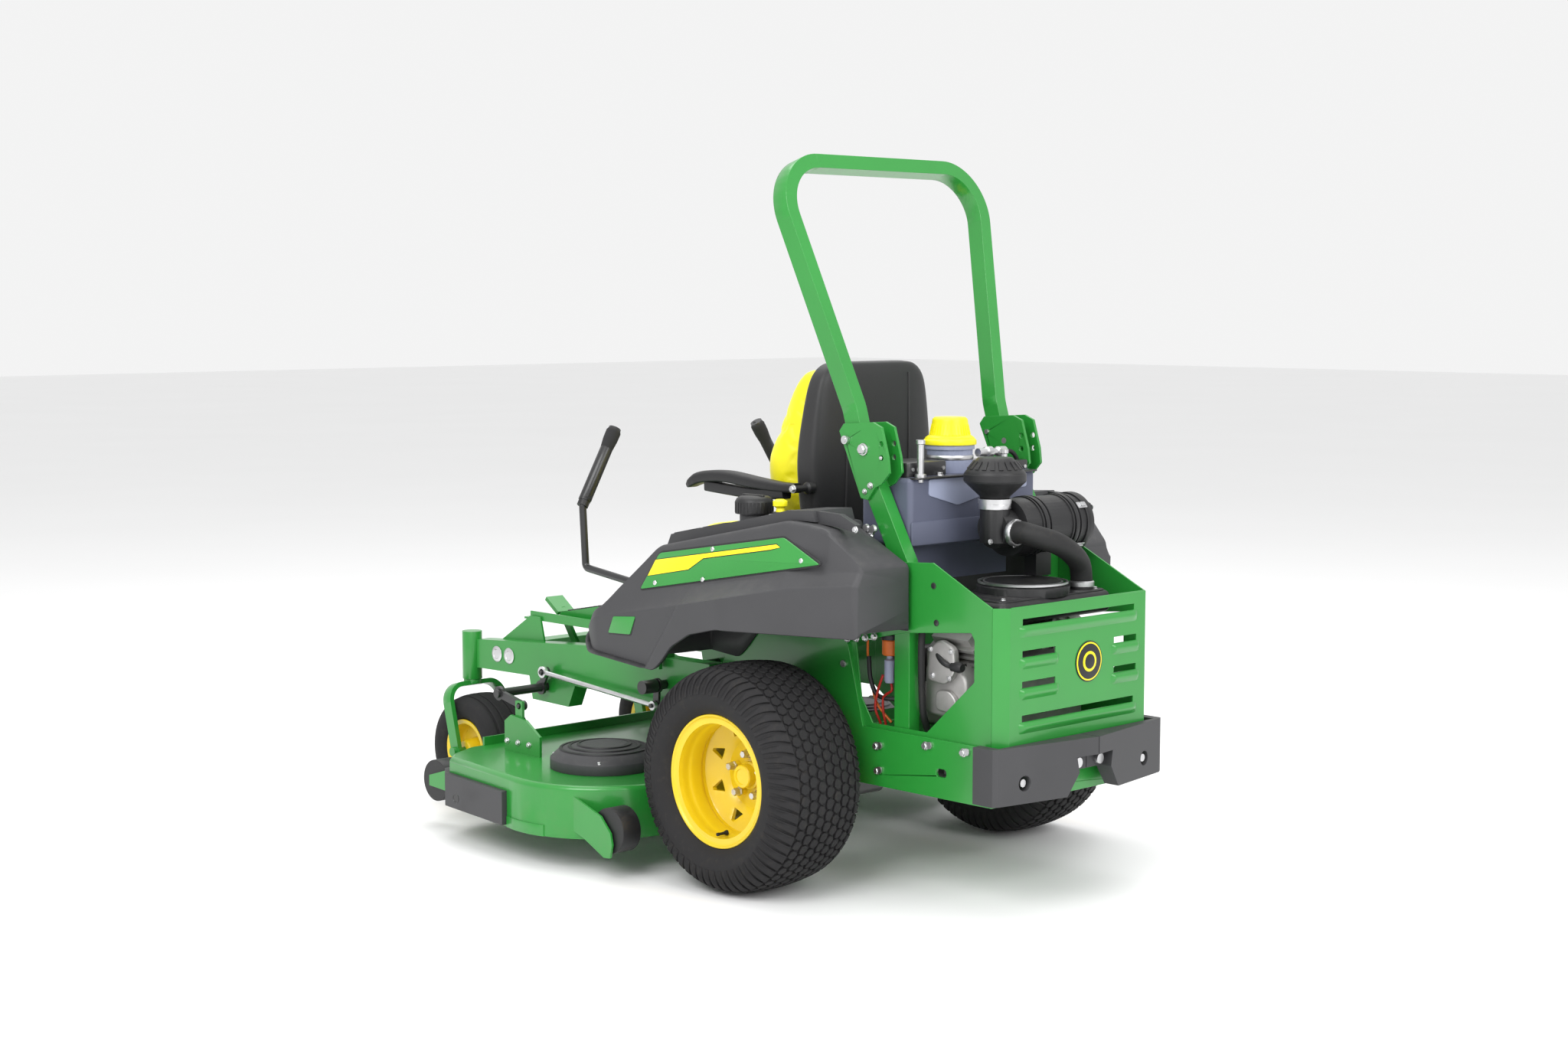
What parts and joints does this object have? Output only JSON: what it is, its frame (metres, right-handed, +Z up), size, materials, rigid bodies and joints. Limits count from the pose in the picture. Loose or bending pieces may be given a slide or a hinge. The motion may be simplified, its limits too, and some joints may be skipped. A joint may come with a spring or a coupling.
{
  "type": "zero turn mower",
  "caption": "Ride-on zero turn mower: rear engine, side-discharge deck, caster front wheels, twin control levers, high-back seat and folding rollover hoop.",
  "frame": {"origin": "centre of the footprint, on the ground", "axes": "+X to the operator's left, +Y to the rear, +Z up"},
  "size_m": [1.7766, 2.2425, 1.895],
  "materials": {
    "green": "gloss enamel",
    "yellow": "gloss enamel",
    "grey_plastic": "fine grain",
    "black_plastic": "satin",
    "black_metal": "satin black",
    "tyre": "turf tread",
    "rubber": "matt",
    "steel": "zinc plated",
    "cast": "as cast",
    "muffler": "heat-stained",
    "tank": "satin",
    "neck": "smooth",
    "cap": "smooth",
    "seat_yellow": "vinyl",
    "seat_black": "vinyl",
    "lever_black": "satin black"
  },
  "bodies": {
    "chassis": {"frame_rails": "green", "side_plates": "green", "crossmembers": "green", "guard_panels": "green", "rear_bumper": "grey_plastic", "engine_block": "cast", "engine_shroud": "black_plastic", "muffler": "muffler", "air_cleaner": "black_plastic", "intake_hose": "rubber", "transaxles": "black_metal", "fuel_tank": "tank", "filler_neck": "neck", "fender_left": "grey_plastic", "fender_right": "grey_plastic", "side_panels": "green", "consoles": "grey_plastic", "rops_posts": "green", "foot_platform": "green", "steel_fasteners": "steel"},
    "cap": {"fuel_cap": "cap"},
    "dial": {"dial_knob": "black_plastic"},
    "pto": {"pto_knob": "cap"},
    "seat_platform": {"seat_frame": "black_metal"},
    "seat": {"seat_shell": "black_plastic", "seat_cushion": "seat_yellow", "back_cushion": "seat_yellow"},
    "arm_left": {"armrest_left": "black_plastic"},
    "arm_right": {"armrest_right": "black_plastic"},
    "hoop": {"rops_hoop": "green"},
    "pin_left": {"rops_pin_left": "steel"},
    "pin_right": {"rops_pin_right": "steel"},
    "rear_wheel_left": {"tyre_rear_left": "tyre", "rim_rear_left": "yellow"},
    "rear_wheel_right": {"tyre_rear_right": "tyre", "rim_rear_right": "yellow"},
    "fork_left": {"caster_fork_left": "green"},
    "fork_right": {"caster_fork_right": "green"},
    "caster_left": {"caster_tyre_left": "tyre", "caster_rim_left": "yellow"},
    "caster_right": {"caster_tyre_right": "tyre", "caster_rim_right": "yellow"},
    "knuckle_left": {"lever_pivot_left": "black_metal"},
    "knuckle_right": {"lever_pivot_right": "black_metal"},
    "stick_left": {"lever_left": "lever_black"},
    "stick_right": {"lever_right": "lever_black"},
    "deck": {"deck_shell": "green", "deck_trim": "grey_plastic", "deck_fittings": "green"},
    "blade_left": {"spindle_left": "steel"},
    "blade_centre": {"spindle_centre": "steel"},
    "blade_right": {"spindle_right": "steel"},
    "chute": {"discharge_chute": "rubber"},
    "roller_left": {"deck_roller_left": "black_plastic"},
    "roller_right": {"deck_roller_right": "black_plastic"},
    "rollers_front": {"front_rollers": "black_plastic"},
    "front_lift": {"lift_front": "black_metal", "lift_pedal": "green"},
    "rear_lift": {"lift_rear": "black_metal"},
    "rods": {"lift_rods": "steel"}
  },
  "joints": [
    {"name": "rear_wheel_spin_left", "type": "hinge", "parent": "chassis", "child": "rear_wheel_left", "pos_m": [0.604, 0.38625, 0.296], "axis": [1, 0, 0], "continuous": true},
    {"name": "caster_swivel_left", "type": "hinge", "parent": "chassis", "child": "fork_left", "pos_m": [0.462, -1.00575, 0.1655], "axis": [0, 0, 1], "continuous": true},
    {"name": "caster_spin_left", "type": "hinge", "parent": "fork_left", "child": "caster_left", "pos_m": [0.462, -0.95575, 0.1655], "axis": [1, 0, 0], "continuous": true},
    {"name": "lever_fore_aft_left", "type": "hinge", "parent": "chassis", "child": "knuckle_left", "pos_m": [0.501, -0.13375, 0.65], "axis": [1, 0, 0], "range_deg": [-12, 18], "stiffness_Nm_per_rad": 40},
    {"name": "lever_out_left", "type": "hinge", "parent": "knuckle_left", "child": "stick_left", "pos_m": [0.501, -0.13375, 0.69], "axis": [0, 1, 0], "range_deg": [0, 12]},
    {"name": "rops_pin_pull_left", "type": "slide", "parent": "chassis", "child": "pin_left", "axis": [1, 0, 0], "range_m": [0, 0.08]},
    {"name": "armrest_lift_left", "type": "hinge", "parent": "seat", "child": "arm_left", "pos_m": [0.369, 0.32425, 1.02], "axis": [-1, 0, 0], "range_deg": [0, 85]},
    {"name": "deck_roller_spin_left", "type": "hinge", "parent": "deck", "child": "roller_left", "pos_m": [0.794, 0.07825, 0.133], "axis": [1, 0, 0], "continuous": true},
    {"name": "rear_wheel_spin_right", "type": "hinge", "parent": "chassis", "child": "rear_wheel_right", "pos_m": [-0.41, 0.38625, 0.296], "axis": [1, 0, 0], "continuous": true},
    {"name": "caster_swivel_right", "type": "hinge", "parent": "chassis", "child": "fork_right", "pos_m": [-0.268, -1.00575, 0.1655], "axis": [0, 0, 1], "continuous": true},
    {"name": "caster_spin_right", "type": "hinge", "parent": "fork_right", "child": "caster_right", "pos_m": [-0.268, -0.95575, 0.1655], "axis": [1, 0, 0], "continuous": true},
    {"name": "lever_fore_aft_right", "type": "hinge", "parent": "chassis", "child": "knuckle_right", "pos_m": [-0.307, -0.13375, 0.65], "axis": [1, 0, 0], "range_deg": [-12, 18], "stiffness_Nm_per_rad": 40},
    {"name": "lever_out_right", "type": "hinge", "parent": "knuckle_right", "child": "stick_right", "pos_m": [-0.307, -0.13375, 0.69], "axis": [0, -1, 0], "range_deg": [0, 12]},
    {"name": "rops_pin_pull_right", "type": "slide", "parent": "chassis", "child": "pin_right", "axis": [-1, 0, 0], "range_m": [0, 0.08]},
    {"name": "armrest_lift_right", "type": "hinge", "parent": "seat", "child": "arm_right", "pos_m": [-0.175, 0.32425, 1.02], "axis": [-1, 0, 0], "range_deg": [0, 85]},
    {"name": "deck_roller_spin_right", "type": "hinge", "parent": "deck", "child": "roller_right", "pos_m": [-0.6, 0.07825, 0.133], "axis": [1, 0, 0], "continuous": true},
    {"name": "hoop_fold", "type": "hinge", "parent": "chassis", "child": "hoop", "pos_m": [0.097, 0.58625, 1.137], "axis": [-1, 0, 0], "range_deg": [0, 106]},
    {"name": "seat_tilt", "type": "hinge", "parent": "chassis", "child": "seat_platform", "pos_m": [0.097, -0.18375, 0.742], "axis": [1, 0, 0], "range_deg": [0, 40]},
    {"name": "seat_slide", "type": "slide", "parent": "seat_platform", "child": "seat", "axis": [0, 1, 0], "range_m": [-0.06, 0.07]},
    {"name": "cap_turn", "type": "hinge", "parent": "chassis", "child": "cap", "pos_m": [0.097, 0.61125, 1.15], "axis": [0, 0, 1], "range_deg": [0, 90]},
    {"name": "dial_turn", "type": "hinge", "parent": "chassis", "child": "dial", "pos_m": [0.509, 0.30025, 0.98], "axis": [0, 0, 1], "range_deg": [0, 270]},
    {"name": "pto_pull", "type": "slide", "parent": "chassis", "child": "pto", "axis": [0, 0, 1], "range_m": [0, 0.01]},
    {"name": "deck_lift", "type": "slide", "parent": "chassis", "child": "deck", "axis": [0, 0, 1], "range_m": [0, 0.04499]},
    {"name": "front_lift_turn", "type": "hinge", "parent": "chassis", "child": "front_lift", "pos_m": [0.097, -0.64375, 0.388], "axis": [1, 0, 0], "range_deg": [0, 23.65]},
    {"name": "rear_lift_turn", "type": "hinge", "parent": "chassis", "child": "rear_lift", "pos_m": [0.097, -0.12375, 0.455], "axis": [1, 0, 0], "range_deg": [-23.65, 0]},
    {"name": "lift_rod_swing", "type": "hinge", "parent": "rear_lift", "child": "rods", "pos_m": [0.097, -0.12701, 0.4001], "axis": [1, 0, 0], "range_deg": [0, 23.65]},
    {"name": "blade_spin_centre", "type": "hinge", "parent": "deck", "child": "blade_centre", "pos_m": [0.097, -0.42375, 0.18], "axis": [0, 0, 1], "continuous": true},
    {"name": "blade_spin_left", "type": "hinge", "parent": "deck", "child": "blade_left", "pos_m": [0.597, -0.21375, 0.18], "axis": [0, 0, 1], "continuous": true},
    {"name": "blade_spin_right", "type": "hinge", "parent": "deck", "child": "blade_right", "pos_m": [-0.403, -0.21375, 0.18], "axis": [0, 0, 1], "continuous": true},
    {"name": "chute_lift", "type": "hinge", "parent": "deck", "child": "chute", "pos_m": [-0.7, -0.31875, 0.24], "axis": [0, 1, 0], "range_deg": [0, 80]},
    {"name": "front_roller_spin", "type": "hinge", "parent": "deck", "child": "rollers_front", "pos_m": [0.097, -0.77375, 0.133], "axis": [1, 0, 0], "continuous": true}
  ],
  "couplings": [
    {"joint": "front_lift_turn", "follows": "deck_lift", "rad_per_m": 9.1555},
    {"joint": "rear_lift_turn", "follows": "deck_lift", "rad_per_m": -9.1555},
    {"joint": "lift_rod_swing", "follows": "deck_lift", "rad_per_m": 9.1555},
    {"joint": "blade_spin_left", "follows": "blade_spin_centre", "ratio": 1},
    {"joint": "blade_spin_right", "follows": "blade_spin_centre", "ratio": 1}
  ]
}
